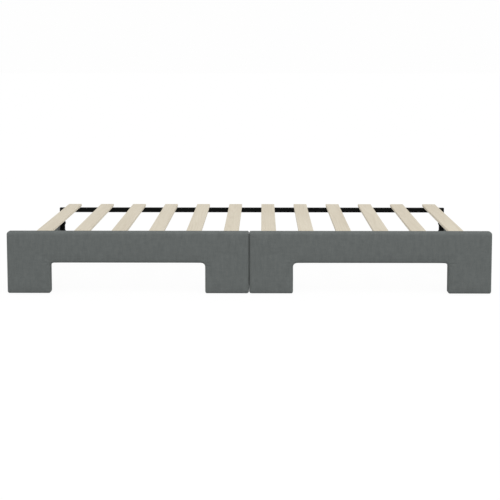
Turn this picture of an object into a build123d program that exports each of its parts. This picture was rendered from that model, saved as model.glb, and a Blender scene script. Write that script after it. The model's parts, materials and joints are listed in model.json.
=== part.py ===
from build123d import *
import os

# ---------------------------------------------------------------------------
# Low roll-out bed frame (pull-out part of a daybed), millimetres, +Z up.
# Origin: centre of the footprint, on the floor.  -Y is the front, +X is the
# right-hand side seen from the front.
# ---------------------------------------------------------------------------

# ---- driving dimensions ----------------------------------------------------
WIDTH = 2000.0            # overall width, over both front panels
DEPTH = 942.0             # front face to the rear ends of the slats
FLOOR_GAP = 6.0           # panels hang this far above the floor, on the castors

PANEL_H = 253.0           # height of the upholstered front
PANEL_T = 42.0            # thickness of the upholstered front
LEG_OUT = 175.0           # width of the two outer legs
LEG_IN = 182.0            # width of the two legs that meet in the middle
CUT_H = 127.0             # height of each cut-out
CORNER_R = 6.0            # rounded outer corners of the upholstered front
NOTCH_R = 9.0             # rounded inner corners of its cut-outs
EDGE_R = 5.0              # rounded front edges
PAD = 10.0                # foam and fabric over the core
BACKING_T = 2.0           # non-woven dust cover on the back

TUBE = 22.0               # slat rails, square tube
TUBE_WALL = 1.5
RAIL_TOP = 204.6
REAR_RAIL_Y = 890.0       # front face of the rear rail, behind the front face
REAR_RAIL_L = 1952.0
FRONT_RAIL_L = 1930.0

SLAT_N = 12
SLAT_W = 65.5
SLAT_T = 12.0
SLAT_PITCH = 164.8
SLAT_START = 46.0         # front ends of the slats, behind the front face

POST = 22.0               # rear posts, the same square tube
POST_WALL = 1.5
POST_OUT = 976.0          # outer faces of the posts = inner faces of side boards
BOLT_Z = (126.0, 82.0)    # side bolts, height above the floor
BOLT_HEAD_R = 9.6
BOLT_HEAD_H = 4.4

SIDE_T = 24.0             # upholstered side boards
SIDE_PAD = 4.0
SIDE_Z0 = 64.0
SIDE_Z1 = 156.0
SIDE_Y1 = 925.0           # rear ends of the side boards

WHEEL_R = 25.0
WHEEL_W = 18.0
WHEEL_BORE_R = 4.05
AXLE_R = 4.0
FORK_GAP = 21.0           # clear width between the fork's cheeks
FORK_T = 2.5
CASTOR_H = 62.0           # top of the fork's plate
CASTOR_FRONT_Y = 74.0     # wheel axles of the front castors, behind the front face
CASTOR_OUTER_X = 900.0
CASTOR_INNER_X = 100.0
CLEAR = 0.1               # radial clearance of bolts and screws in their holes

F = -DEPTH / 2.0          # y of the front face
RAIL_Z0 = RAIL_TOP - TUBE
SLAT_TOP = RAIL_TOP + SLAT_T
SLAT_X = [(i - (SLAT_N - 1) / 2.0) * SLAT_PITCH for i in range(SLAT_N)]
FRONT_RAIL_Y = PANEL_T    # front rail lies against the back of the front
REAR_Y = REAR_RAIL_Y + TUBE / 2.0
FRONT_Y = FRONT_RAIL_Y + TUBE / 2.0

os.makedirs("parts", exist_ok=True)


# ---- helpers ---------------------------------------------------------------
def box(x0, x1, y0, y1, z0, z1):
    """Block between two corners; y counts from the front face."""
    return Pos((x0 + x1) / 2, F + (y0 + y1) / 2, (z0 + z1) / 2) * Box(
        abs(x1 - x0), abs(y1 - y0), abs(z1 - z0))


def rod(axis, a0, a1, p, q, r):
    """Round bar along an axis from a0 to a1; p, q are the other two places."""
    n = abs(a1 - a0)
    m = (a0 + a1) / 2
    c = Cylinder(r, n)
    if axis == "x":
        return Pos(m, F + p, q) * (Rot(0, 90, 0) * c)
    if axis == "y":
        return Pos(p, F + m, q) * (Rot(90, 0, 0) * c)
    return Pos(p, F + q, m) * c


def cone(axis, a0, a1, p, q, r0, r1):
    """Cone from radius r0 at a0 to r1 at a1 (a1 > a0)."""
    m = (a0 + a1) / 2
    c = Cone(r0, r1, a1 - a0)
    if axis == "x":
        return Pos(m, F + p, q) * (Rot(0, 90, 0) * c)
    if axis == "y":
        return Pos(p, F + m, q) * (Rot(-90, 0, 0) * c)
    return Pos(p, F + q, m) * c


def solid(shape):
    """The single solid of a boolean result."""
    s = shape.solids()
    assert len(s) == 1, len(s)
    return s[0]


def save(name, *shapes):
    out = []
    for s in shapes:
        out.extend(s.solids())
    obj = out[0] if len(out) == 1 else Compound(children=out)
    obj.label = name
    export_step(obj, f"parts/{name}.step")


def dome_screw(axis, head_at, direction, p, q, r, length, head_r, head_h, drive=2.0):
    """Round-head screw.  The head's underside is at head_at, the shank runs in
    the given direction (+1 or -1) along the axis, the head the other way."""
    a = head_at
    tip = a + direction * length
    shank_end = tip - direction * r * 1.2
    parts = rod(axis, min(a, shank_end), max(a, shank_end), p, q, r)
    if direction > 0:
        point = cone(axis, shank_end, tip, p, q, r, r * 0.35)
    else:
        point = cone(axis, tip, shank_end, p, q, r * 0.35, r)
    head_out = a - direction * head_h
    lo, hi = min(a, head_out), max(a, head_out)
    rim = head_h * 0.35
    if direction > 0:      # head lies below a
        base = rod(axis, a - rim, a, p, q, head_r)
        crown = cone(axis, lo, a - rim, p, q, head_r * 0.62, head_r)
    else:
        base = rod(axis, a, a + rim, p, q, head_r)
        crown = cone(axis, a + rim, hi, p, q, head_r, head_r * 0.62)
    s = parts + point + base + crown
    # hexagonal key socket
    depth = head_h * 0.6
    sock = extrude(Plane.XY * RegularPolygon(radius=drive, side_count=6), depth + 1)
    if axis == "x":
        sock = Rot(0, 90, 0) * sock      # now along +X from 0
        s = s - (Pos(lo - 1 if direction > 0 else hi - depth, F + p, q) * sock)
    elif axis == "y":
        sock = Rot(-90, 0, 0) * sock     # along +Y
        s = s - (Pos(p, F + (lo - 1 if direction > 0 else hi - depth), q) * sock)
    else:
        s = s - (Pos(p, F + q, lo - 1 if direction > 0 else hi - depth) * sock)
    return solid(s)


# ---- upholstered front: inverted-U core, foam-and-fabric cover, backing -----
def u_face(x0, x1, inset):
    """Inverted U in the XZ plane between x0 and x1, drawn in by inset."""
    zb, zt = FLOOR_GAP + inset, FLOOR_GAP + PANEL_H - inset
    zc = FLOOR_GAP + CUT_H + inset
    a, b = x0 + inset, x1 - inset
    leg0, leg1 = (LEG_OUT, LEG_IN) if x0 < 0 else (LEG_IN, LEG_OUT)
    c, d = x0 + leg0 - inset, x1 - leg1 + inset
    pts = [(a, zb), (c, zb), (c, zc), (d, zc), (d, zb), (b, zb), (b, zt), (a, zt)]
    return pts


def u_solid(x0, x1, inset, y0, y1, radius_out, radius_in):
    pts = u_face(x0, x1, inset)
    # Plane.XZ looks along -Y, so its extrusion is turned to run along +Y
    face = make_face(Polyline(*[(x, z) for x, z in pts], close=True))
    body = extrude(face, y1 - y0)                     # in XY, height along Z
    body = Pos(0, F + y1, 0) * (Rot(90, 0, 0) * body)  # stand it up
    zc = FLOOR_GAP + CUT_H + inset
    upright = body.edges().filter_by(Axis.Y)
    inner = [e for e in upright if abs(e.center().Z - zc) < 0.01]
    outer = [e for e in upright if abs(e.center().Z - zc) >= 0.01]
    body = fillet(outer, radius_out)
    upright = body.edges().filter_by(Axis.Y)
    inner = [e for e in upright if abs(e.center().Z - zc) < 0.01]
    body = fillet(inner, radius_in)
    return body


SEAM_PLATE_Z = ((196.0 - 50.0, 176.0), (30.0, 62.0))
SEAM_HALF = 40.0
PLATE_T = 3.0


def seam_screw_places():
    out = []
    for z0, z1 in SEAM_PLATE_Z:
        for x in (-28.0, -14.0, 14.0, 28.0):
            out.append((x, (z0 + z1) / 2))
    return out


CB_W = 60.0                # castor bracket width
CB_D = 64.0                # castor bracket depth
CB_Z1 = 124.0              # top of the castor bracket's upright plate
CORNER_Z = (84.0, 144.0)
CORNER_ARM = 40.0


def castor_bracket_screws(cx):
    return [(cx - 20, 108.0), (cx + 20, 108.0), (cx - 20, 84.0), (cx + 20, 84.0)]


def corner_panel_screws(sx):
    x = POST_OUT - CORNER_ARM / 2 - 2
    return [(sx * x, CORNER_Z[0] + 14), (sx * x, CORNER_Z[1] - 14)]


RAIL_SCREW_X = (SLAT_PITCH, 3 * SLAT_PITCH, 5 * SLAT_PITCH)
PLATE_SCREW_R, PLATE_SCREW_L = 2.0, 22.0
RAIL_SCREW_R, RAIL_SCREW_L = 2.5, 44.0

castor_x = {"front_left_outer": -CASTOR_OUTER_X, "front_left_inner": -CASTOR_INNER_X,
            "front_right_inner": CASTOR_INNER_X, "front_right_outer": CASTOR_OUTER_X}

panel_screws = []          # plates and brackets into the cores, along -Y
for x, z in seam_screw_places():
    panel_screws.append((x, z))
for cx in castor_x.values():
    panel_screws.extend(castor_bracket_screws(cx))
for sx in (-1, 1):
    panel_screws.extend(corner_panel_screws(sx))
rail_screws = [(s * x, RAIL_Z0 + TUBE / 2) for s in (-1, 1) for x in RAIL_SCREW_X]


def drill_panel(body, x0, x1, y0, y1):
    """Screw holes through a panel layer between y0 and y1."""
    for x, z in panel_screws:
        if x0 < x < x1:
            tip = PANEL_T + PLATE_T - PLATE_SCREW_L
            a = max(y0, tip - 1)
            if a < y1:
                body = body - rod("y", a - (0 if a > y0 else 1), y1 + 1, x, z, PLATE_SCREW_R + CLEAR)
    for x, z in rail_screws:
        if x0 < x < x1:
            tip = PANEL_T + TUBE - RAIL_SCREW_L
            a = max(y0, tip - 1)
            if a < y1:
                body = body - rod("y", a - (0 if a > y0 else 1), y1 + 1, x, z, RAIL_SCREW_R + CLEAR)
    return body


for side, x0, x1 in (("left", -WIDTH / 2, 0.0), ("right", 0.0, WIDTH / 2)):
    outer = u_solid(x0, x1, 0.0, 0.0, PANEL_T, CORNER_R, NOTCH_R)
    front_edges = [e for e in outer.edges() if abs(e.center().Y - F) < 0.01]
    outer = fillet(front_edges, EDGE_R)
    cavity = u_solid(x0, x1, PAD, PAD, PANEL_T + 1, 2.0, 2.0)
    save(f"front_cover_{side}", solid(outer - cavity))
    core = u_solid(x0, x1, PAD, PAD, PANEL_T - BACKING_T, 2.0, 2.0)
    save(f"front_core_{side}", solid(drill_panel(core, x0, x1, PAD, PANEL_T - BACKING_T)))
    back = u_solid(x0, x1, PAD, PANEL_T - BACKING_T, PANEL_T, 2.0, 2.0)
    save(f"front_backing_{side}", solid(drill_panel(back, x0, x1, PANEL_T - BACKING_T, PANEL_T)))

# ---- plates behind the seam between the two front panels --------------------
for name, (z0, z1) in zip(("seam_plate_upper", "seam_plate_lower"), SEAM_PLATE_Z):
    p = box(-SEAM_HALF, SEAM_HALF, PANEL_T, PANEL_T + PLATE_T, z0, z1)
    p = fillet(p.edges().filter_by(Axis.Y), 5.0)
    for x, z in seam_screw_places():
        if z0 < z < z1:
            p = p - rod("y", PANEL_T - 1, PANEL_T + PLATE_T + 1, x, z, PLATE_SCREW_R + CLEAR)
    save(name, solid(p))

# ---- slat rails: square tubes in two halves over an inner splice ------------
SPLICE = TUBE - 2 * TUBE_WALL - 0.4
SPLICE_HALF = 90.0
SPLICE_SCREW_X = (-65.0, -30.0, 30.0, 65.0)
SLAT_SCREW_R = 2.0


def rail(x0, x1, y0, holes_y_x, slat_x, end_bolt_x=None):
    t = box(x0, x1, y0, y0 + TUBE, RAIL_Z0, RAIL_TOP)
    t = fillet(t.edges().filter_by(Axis.X), 2.0)
    bore = box(x0 - 1, x1 + 1, y0 + TUBE_WALL, y0 + TUBE - TUBE_WALL,
               RAIL_Z0 + TUBE_WALL, RAIL_TOP - TUBE_WALL)
    t = t - bore
    for x in slat_x:
        t = t - rod("z", RAIL_Z0 - 1, RAIL_TOP + 1, x, y0 + TUBE / 2, SLAT_SCREW_R + CLEAR)
    for x, ya, yb, r in holes_y_x:
        t = t - rod("y", ya, yb, x, RAIL_Z0 + TUBE / 2, r)
    if end_bolt_x is not None:
        t = t - rod("z", RAIL_Z0 - 1, RAIL_TOP + 1, end_bolt_x, y0 + TUBE / 2, 3.0 + CLEAR)
        t = t - cone("z", RAIL_TOP - TUBE_WALL - 0.01, RAIL_TOP + 0.01, end_bolt_x,
                     y0 + TUBE / 2, 3.0 + CLEAR, 5.6)
    return solid(t)


END_BOLT_X = POST_OUT - POST / 2
for side, s in (("left", -1), ("right", 1)):
    xs = [x for x in SLAT_X if x * s > 0]
    # front rail
    xe = s * FRONT_RAIL_L / 2
    holes = [(s * x, FRONT_RAIL_Y - 1, FRONT_RAIL_Y + TUBE + 1, RAIL_SCREW_R + CLEAR)
             for x in RAIL_SCREW_X]
    holes += [(x, FRONT_RAIL_Y + TUBE - TUBE_WALL - 1, FRONT_RAIL_Y + TUBE + 1, 2.0 + CLEAR)
              for x in SPLICE_SCREW_X if x * s > 0]
    save(f"front_rail_{side}", rail(min(0, xe), max(0, xe), FRONT_RAIL_Y, holes, xs))
    # rear rail
    xe = s * REAR_RAIL_L / 2
    holes = [(x, REAR_RAIL_Y + TUBE - TUBE_WALL - 1, REAR_RAIL_Y + TUBE + 1, 2.0 + CLEAR)
             for x in SPLICE_SCREW_X if x * s > 0]
    save(f"rear_rail_{side}", rail(min(0, xe), max(0, xe), REAR_RAIL_Y, holes, xs,
                                   s * END_BOLT_X))

for name, yc in (("front_rail_splice", FRONT_Y), ("rear_rail_splice", REAR_Y)):
    h = SPLICE / 2
    zc = RAIL_Z0 + TUBE / 2
    p = box(-SPLICE_HALF, SPLICE_HALF, yc - h, yc + h, zc - h, zc + h)
    p = p - box(-SPLICE_HALF - 1, SPLICE_HALF + 1, yc - h + 2.5, yc + h - 2.5,
                zc - h + 2.5, zc + h - 2.5)
    for x in SPLICE_SCREW_X:
        p = p - rod("y", yc, yc + h + 1, x, zc, 2.0 + CLEAR)
    for x in SLAT_X:
        if abs(x) < SPLICE_HALF:
            p = p - rod("z", zc - h - 1, zc + h + 1, x, yc, SLAT_SCREW_R + CLEAR)
    save(name, solid(p))

splice_screws = []
for y_face in (FRONT_RAIL_Y + TUBE, REAR_RAIL_Y + TUBE):
    for x in SPLICE_SCREW_X:
        splice_screws.append(dome_screw("y", y_face, -1, x, RAIL_Z0 + TUBE / 2,
                                        2.0, 9.0, 4.0, 2.2, 1.2))
save("splice_screws", *splice_screws)

# ---- caps in the open ends of the rails -------------------------------------
caps = []
for s in (-1, 1):
    for half, yc in ((FRONT_RAIL_L / 2, FRONT_Y), (REAR_RAIL_L / 2, REAR_Y)):
        g = TUBE / 2 - TUBE_WALL - 0.15
        zc = RAIL_Z0 + TUBE / 2
        plug = box(s * (half - 9.0), s * half, yc - g, yc + g, zc - g, zc + g)
        if yc == REAR_Y:   # room for the end bolt beside it
            plug = box(s * (half - 4.0), s * half, yc - g, yc + g, zc - g, zc + g)
        e = TUBE / 2 - 0.4
        lip = box(s * half, s * (half + 1.5), yc - e, yc + e, zc - e, zc + e)
        lip = fillet(lip.edges().filter_by(Axis.X), 1.8)
        caps.append(solid(plug + lip) if yc == FRONT_Y else solid(plug))
save("rail_end_caps", *caps)

# ---- rear posts --------------------------------------------------------------
PLUG_H = 22.0
for side, s in (("left", -1), ("right", 1)):
    xa, xb = s * (POST_OUT - POST), s * POST_OUT
    ya, yb = REAR_Y - POST / 2, REAR_Y + POST / 2
    p = box(xa, xb, ya, yb, CASTOR_H, RAIL_Z0)
    p = fillet(p.edges().filter_by(Axis.Z), 2.0)
    xi, xo = sorted((xa + s * POST_WALL, xb - s * POST_WALL))
    p = p - box(xi, xo, ya + POST_WALL, yb - POST_WALL, CASTOR_H - 1, RAIL_Z0 + 1)
    for z in BOLT_Z:
        p = p - rod("x", min(xa, xb) - 1, max(xa, xb) + 1, REAR_Y, z, 4.0 + CLEAR)
    save(f"rear_post_{side}", solid(p))

# nylon plugs inside the posts that take the bolts at top and bottom
plugs = []
g = POST / 2 - POST_WALL - 0.15
for s in (-1, 1):
    xc = s * END_BOLT_X
    top = box(xc - g, xc + g, REAR_Y - g, REAR_Y + g, RAIL_Z0 - PLUG_H, RAIL_Z0)
    top = top - rod("z", RAIL_Z0 - PLUG_H + 3, RAIL_Z0 + 1, xc, REAR_Y, 3.0 + CLEAR)
    low = box(xc - g, xc + g, REAR_Y - g, REAR_Y + g, CASTOR_H, CASTOR_H + 11.0)
    low = low - rod("z", CASTOR_H - 1, CASTOR_H + 12.0, xc, REAR_Y, 3.0 + CLEAR)
    plugs += [solid(top), solid(low)]
save("post_plugs", *plugs)

# countersunk bolts through the rail ends into the posts
end_bolts = []
for s in (-1, 1):
    xc = s * END_BOLT_X
    b = rod("z", RAIL_Z0 - 16.0, RAIL_TOP - TUBE_WALL, xc, REAR_Y, 3.0)
    b = b + cone("z", RAIL_TOP - TUBE_WALL, RAIL_TOP - 0.1, xc, REAR_Y, 3.0, 5.3)
    sock = extrude(Plane.XY * RegularPolygon(radius=2.0, side_count=6), 4)
    b = b - (Pos(xc, F + REAR_Y, RAIL_TOP - 3.0) * sock)
    end_bolts.append(solid(b))
save("rail_end_bolts", *end_bolts)

# ---- upholstered side boards -------------------------------------------------
SB_FRONT = PANEL_T          # front end lies against the back of the front
for side, s in (("left", -1), ("right", 1)):
    xi, xo = POST_OUT, POST_OUT + SIDE_T
    xa, xb = sorted((s * xi, s * xo))
    cov = box(xa, xb, SB_FRONT, SIDE_Y1, SIDE_Z0, SIDE_Z1)
    soft = [e for e in cov.edges() if not (abs(e.center().Z - SIDE_Z0) < 0.01
                                            or abs(e.center().Y - (F + SB_FRONT)) < 0.01)]
    cov = fillet(soft, 3.5)
    cav = box(xa + SIDE_PAD, xb - SIDE_PAD, SB_FRONT + SIDE_PAD, SIDE_Y1 - SIDE_PAD,
              SIDE_Z0 - 1, SIDE_Z1 - SIDE_PAD)
    core = box(xa + SIDE_PAD, xb - SIDE_PAD, SB_FRONT + SIDE_PAD, SIDE_Y1 - SIDE_PAD,
               SIDE_Z0, SIDE_Z1 - SIDE_PAD)
    cov = cov - cav
    for z in BOLT_Z:
        hole = rod("x", s * (xi - 1) if s > 0 else s * (xi + SIDE_PAD + 13),
                   s * (xi + SIDE_PAD + 13) if s > 0 else s * (xi - 1), REAR_Y, z, 4.0 + CLEAR)
        cov = cov - hole
        core = core - hole
    for z in (CORNER_Z[0] + 14, CORNER_Z[1] - 14):
        for y in (PANEL_T + 20.0, PANEL_T + 44.0):
            hole = rod("x", min(s * (xi - 1), s * (xi + 17)), max(s * (xi - 1), s * (xi + 17)),
                       y, z, PLATE_SCREW_R + CLEAR)
            cov = cov - hole
            core = core - hole
    save(f"side_cover_{side}", solid(cov))
    save(f"side_core_{side}", solid(core))

# bolts with round heads on the inner faces of the posts
side_bolts = []
for s in (-1, 1):
    for z in BOLT_Z:
        side_bolts.append(dome_screw("x", s * (POST_OUT - POST), s, REAR_Y, z,
                                     4.0, POST + SIDE_PAD + 12.0, BOLT_HEAD_R, BOLT_HEAD_H, 2.9))
save("side_bolts", *side_bolts)

# ---- corner brackets: front to side board ------------------------------------
for side, s in (("left", -1), ("right", 1)):
    a = box(s * (POST_OUT - CORNER_ARM), s * POST_OUT, PANEL_T, PANEL_T + PLATE_T, *CORNER_Z)
    b = box(s * (POST_OUT - PLATE_T), s * POST_OUT, PANEL_T, PANEL_T + 60.0, *CORNER_Z)
    p = a + b
    bend = [e for e in p.edges().filter_by(Axis.Z)
            if abs(abs(e.center().X) - (POST_OUT - PLATE_T)) < 0.01
            and abs(e.center().Y - (F + PANEL_T + PLATE_T)) < 0.01]
    p = fillet(bend, 2.0)
    for x, z in corner_panel_screws(s):
        p = p - rod("y", PANEL_T - 1, PANEL_T + PLATE_T + 1, x, z, PLATE_SCREW_R + CLEAR)
    for z in (CORNER_Z[0] + 14, CORNER_Z[1] - 14):
        for y in (PANEL_T + 20.0, PANEL_T + 44.0):
            p = p - rod("x", min(s * (POST_OUT - 4), s * (POST_OUT + 1)),
                        max(s * (POST_OUT - 4), s * (POST_OUT + 1)), y, z, PLATE_SCREW_R + CLEAR)
    save(f"corner_bracket_{side}", solid(p))

# ---- castor brackets behind the four front legs ------------------------------
for name, cx in castor_x.items():
    up = box(cx - CB_W / 2, cx + CB_W / 2, PANEL_T, PANEL_T + PLATE_T, CASTOR_H, CB_Z1)
    flat = box(cx - CB_W / 2, cx + CB_W / 2, PANEL_T, PANEL_T + CB_D, CASTOR_H, CASTOR_H + PLATE_T)
    p = up + flat
    for gx in (cx - CB_W / 2, cx + CB_W / 2 - PLATE_T):
        tri = make_face(Polyline((PANEL_T + PLATE_T, CASTOR_H + PLATE_T),
                                 (PANEL_T + CB_D - 10, CASTOR_H + PLATE_T),
                                 (PANEL_T + PLATE_T, CB_Z1 - 12), close=True))
        g3 = extrude(tri, PLATE_T)                  # (y, z) drawn in XY, thickness +Z
        g3 = Pos(gx, F, 0) * (Rot(0, 0, 90) * (Rot(90, 0, 0) * g3))
        p = p + g3
    for x, z in castor_bracket_screws(cx):
        p = p - rod("y", PANEL_T - 1, PANEL_T + PLATE_T + 1, x, z, PLATE_SCREW_R + CLEAR)
    for dy in (-13.0, 13.0):
        p = p - rod("z", CASTOR_H - 1, CASTOR_H + PLATE_T + 1, cx, CASTOR_FRONT_Y + dy, 3.0 + CLEAR)
    save(f"castor_bracket_{name}", solid(p))

screws = [dome_screw("y", PANEL_T + PLATE_T, -1, x, z, PLATE_SCREW_R, PLATE_SCREW_L, 4.2, 2.2, 1.3)
          for x, z in panel_screws]
for s in (-1, 1):
    for z in (CORNER_Z[0] + 14, CORNER_Z[1] - 14):
        for y in (PANEL_T + 20.0, PANEL_T + 44.0):
            screws.append(dome_screw("x", s * (POST_OUT - PLATE_T), s, y, z,
                                     PLATE_SCREW_R, 18.0, 4.2, 2.2, 1.3))
save("bracket_screws", *screws)

save("front_rail_screws",
     *[dome_screw("y", PANEL_T + TUBE, -1, x, z, RAIL_SCREW_R, RAIL_SCREW_L, 5.0, 2.6, 1.6)
       for x, z in rail_screws])

# ---- castors -----------------------------------------------------------------
castors = {n: (x, CASTOR_FRONT_Y) for n, x in castor_x.items()}
castors["rear_left"] = (-END_BOLT_X, REAR_Y)
castors["rear_right"] = (END_BOLT_X, REAR_Y)

axles = []
for name, (cx, cy) in castors.items():
    half = FORK_GAP / 2 + FORK_T
    plate = box(cx - 19, cx + 19, cy - 19, cy + 19, CASTOR_H - FORK_T, CASTOR_H)
    plate = fillet(plate.edges().filter_by(Axis.Z), 4.0)
    fork = plate
    for s in (-1, 1):
        pts = [(cy - 15, CASTOR_H - FORK_T), (cy + 15, CASTOR_H - FORK_T),
               (cy + 8.5, WHEEL_R - 5), (cy + 5, WHEEL_R - 8.5),
               (cy - 5, WHEEL_R - 8.5), (cy - 8.5, WHEEL_R - 5)]
        cheek = extrude(make_face(Polyline(*pts, close=True)), FORK_T)
        gx = cx + (FORK_GAP / 2 if s > 0 else -FORK_GAP / 2 - FORK_T)
        fork = fork + Pos(gx, F, 0) * (Rot(0, 0, 90) * (Rot(90, 0, 0) * cheek))
    fork = fork - rod("x", cx - 30, cx + 30, cy, WHEEL_R, AXLE_R + 0.05)
    if name.startswith("front"):
        for dy in (-13.0, 13.0):
            fork = fork - rod("z", CASTOR_H - 10, CASTOR_H + 1, cx, cy + dy, 3.0 + CLEAR)
    else:
        fork = fork - rod("z", CASTOR_H - 10, CASTOR_H + 1, cx, cy, 3.0 + CLEAR)
    save(f"castor_fork_{name}", solid(fork))

    ax = rod("x", cx - half, cx + half, cy, WHEEL_R, AXLE_R)
    ax = ax + rod("x", cx - half - 1.6, cx - half, cy, WHEEL_R, 6.0)
    ax = ax + rod("x", cx + half, cx + half + 1.6, cy, WHEEL_R, 6.0)
    ends = [e for e in ax.edges() if e.geom_type == GeomType.CIRCLE
            and abs(abs(e.center().X - cx) - half - 1.6) < 0.01]
    axles.append(solid(fillet(ends, 0.9)))

    # nylon wheel: rounded tread, dished sides, hub boss
    w = rod("x", cx - WHEEL_W / 2, cx + WHEEL_W / 2, cy, WHEEL_R, WHEEL_R)
    rim = [e for e in w.edges() if e.geom_type == GeomType.CIRCLE]
    w = fillet(rim, 3.0)
    for s in (-1, 1):
        a, b = sorted((cx + s * (WHEEL_W / 2 - 4.5), cx + s * (WHEEL_W / 2 + 1)))
        dish = rod("x", a, b, cy, WHEEL_R, 19.0) - rod("x", a - 1, b + 1, cy, WHEEL_R, 8.5)
        w = w - dish
        a, b = sorted((cx + s * (WHEEL_W / 2 - 0.5), cx + s * (FORK_GAP / 2 - 0.4)))
        w = w + rod("x", a, b, cy, WHEEL_R, 7.0)
    w = w - rod("x", cx - 30, cx + 30, cy, WHEEL_R, WHEEL_BORE_R)
    save(f"castor_wheel_{name}", solid(w))
save("castor_axles", *axles)

# bolts that hold the forks: two through each front bracket, one into each post
cb = []
for name, (cx, cy) in castors.items():
    if name.startswith("front"):
        for dy in (-13.0, 13.0):
            b = rod("z", CASTOR_H - FORK_T, CASTOR_H + PLATE_T + 4.5, cx, cy + dy, 3.0)
            b = b + rod("z", CASTOR_H - FORK_T - 2.4, CASTOR_H - FORK_T, cx, cy + dy, 5.2)
            hexn = extrude(Plane.XY * RegularPolygon(radius=5.6, side_count=6), 3.6)
            b = b + Pos(cx, F + cy + dy, CASTOR_H + PLATE_T) * hexn
            cb.append(solid(b))
    else:
        b = rod("z", CASTOR_H - FORK_T, CASTOR_H + 10.0, cx, cy, 3.0)
        b = b + rod("z", CASTOR_H - FORK_T - 2.4, CASTOR_H - FORK_T, cx, cy, 5.2)
        cb.append(solid(b))
save("castor_bolts", *cb)

# ---- slats and their screws --------------------------------------------------
slat_screws = []
for i, x in enumerate(SLAT_X, 1):
    p = box(x - SLAT_W / 2, x + SLAT_W / 2, SLAT_START, DEPTH, RAIL_TOP, SLAT_TOP)
    p = fillet(p.edges().filter_by(Axis.Y), 1.5)
    for yc in (FRONT_Y, REAR_Y):
        p = p - rod("z", RAIL_TOP - 1, RAIL_TOP + 9.0, x, yc, SLAT_SCREW_R + CLEAR)
        slat_screws.append(dome_screw("z", RAIL_Z0, 1, x, yc, SLAT_SCREW_R, TUBE + 8.0,
                                      4.0, 2.2, 1.2))
    save(f"slat_{i:02d}", solid(p))
save("slat_screws", *slat_screws)
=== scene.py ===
import bpy
import bmesh
import json
import math
import numpy as np
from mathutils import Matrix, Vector, noise


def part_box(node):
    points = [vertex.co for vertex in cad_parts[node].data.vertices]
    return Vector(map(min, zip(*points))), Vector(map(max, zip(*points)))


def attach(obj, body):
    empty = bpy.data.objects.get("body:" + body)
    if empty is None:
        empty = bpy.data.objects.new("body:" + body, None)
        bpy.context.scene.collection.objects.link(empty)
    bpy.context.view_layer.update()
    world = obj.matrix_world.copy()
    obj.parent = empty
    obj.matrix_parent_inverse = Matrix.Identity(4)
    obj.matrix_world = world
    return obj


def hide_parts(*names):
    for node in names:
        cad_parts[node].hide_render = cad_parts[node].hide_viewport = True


# Looks of a low roll-out bed frame: two upholstered inverted-U front panels,
# wooden slats on black steel rails, upholstered side boards and castors.
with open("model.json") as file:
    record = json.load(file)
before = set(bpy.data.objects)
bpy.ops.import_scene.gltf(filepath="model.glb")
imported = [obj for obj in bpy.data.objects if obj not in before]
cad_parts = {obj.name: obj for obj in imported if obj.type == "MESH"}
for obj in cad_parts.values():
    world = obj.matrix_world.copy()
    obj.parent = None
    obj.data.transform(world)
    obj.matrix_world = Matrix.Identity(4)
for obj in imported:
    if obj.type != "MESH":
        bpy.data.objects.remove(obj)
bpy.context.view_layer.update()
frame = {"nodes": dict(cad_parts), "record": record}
nodes = frame["nodes"]
BODY = "frame"

# ---------------------------------------------------------------- materials
def clear(mat):
    mat.use_nodes = True
    nt = mat.node_tree
    nt.nodes.clear()
    out = nt.nodes.new("ShaderNodeOutputMaterial")
    bsdf = nt.nodes.new("ShaderNodeBsdfPrincipled")
    nt.links.new(bsdf.outputs["BSDF"], out.inputs["Surface"])
    return nt, bsdf


def N(nt, kind, **kw):
    n = nt.nodes.new(kind)
    for k, v in kw.items():
        if k in n.inputs.keys():
            n.inputs[k].default_value = v
        else:
            setattr(n, k, v)
    return n


def link(nt, a, b):
    nt.links.new(a, b)


def srgb(r, g, b):
    def f(c):
        c = c / 255.0
        return c / 12.92 if c <= 0.04045 else ((c + 0.055) / 1.055) ** 2.4
    return (f(r), f(g), f(b), 1.0)


def math_node(nt, op, a, b=None, clamp=False):
    n = nt.nodes.new("ShaderNodeMath")
    n.operation = op
    n.use_clamp = clamp
    for i, v in enumerate((a, b)):
        if v is None:
            continue
        if isinstance(v, (int, float)):
            n.inputs[i].default_value = v
        else:
            nt.links.new(v, n.inputs[i])
    return n.outputs[0]


def mapped(nt, source, scale, loc=(0, 0, 0), rot=(0, 0, 0)):
    m = nt.nodes.new("ShaderNodeMapping")
    m.inputs["Scale"].default_value = scale
    m.inputs["Location"].default_value = loc
    m.inputs["Rotation"].default_value = rot
    nt.links.new(source, m.inputs["Vector"])
    return m.outputs["Vector"]


def noise_node(nt, vec, scale=1.0, detail=2.0, rough=0.5, dist=0.0):
    n = nt.nodes.new("ShaderNodeTexNoise")
    n.inputs["Scale"].default_value = scale
    n.inputs["Detail"].default_value = detail
    n.inputs["Roughness"].default_value = rough
    n.inputs["Distortion"].default_value = dist
    nt.links.new(vec, n.inputs["Vector"])
    return n.outputs["Fac"]


def ramp(nt, fac, stops):
    r = nt.nodes.new("ShaderNodeValToRGB")
    while len(r.color_ramp.elements) < len(stops):
        r.color_ramp.elements.new(0.5)
    for e, (p, c) in zip(r.color_ramp.elements, stops):
        e.position = p
        e.color = c if len(c) == 4 else (*c, 1.0)
    nt.links.new(fac, r.inputs["Fac"])
    return r.outputs["Color"]


def map_range(nt, v, a, b, c, d):
    m = nt.nodes.new("ShaderNodeMapRange")
    for i, x in enumerate((a, b, c, d)):
        m.inputs[i + 1].default_value = x
    nt.links.new(v, m.inputs[0])
    return m.outputs[0]


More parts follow.
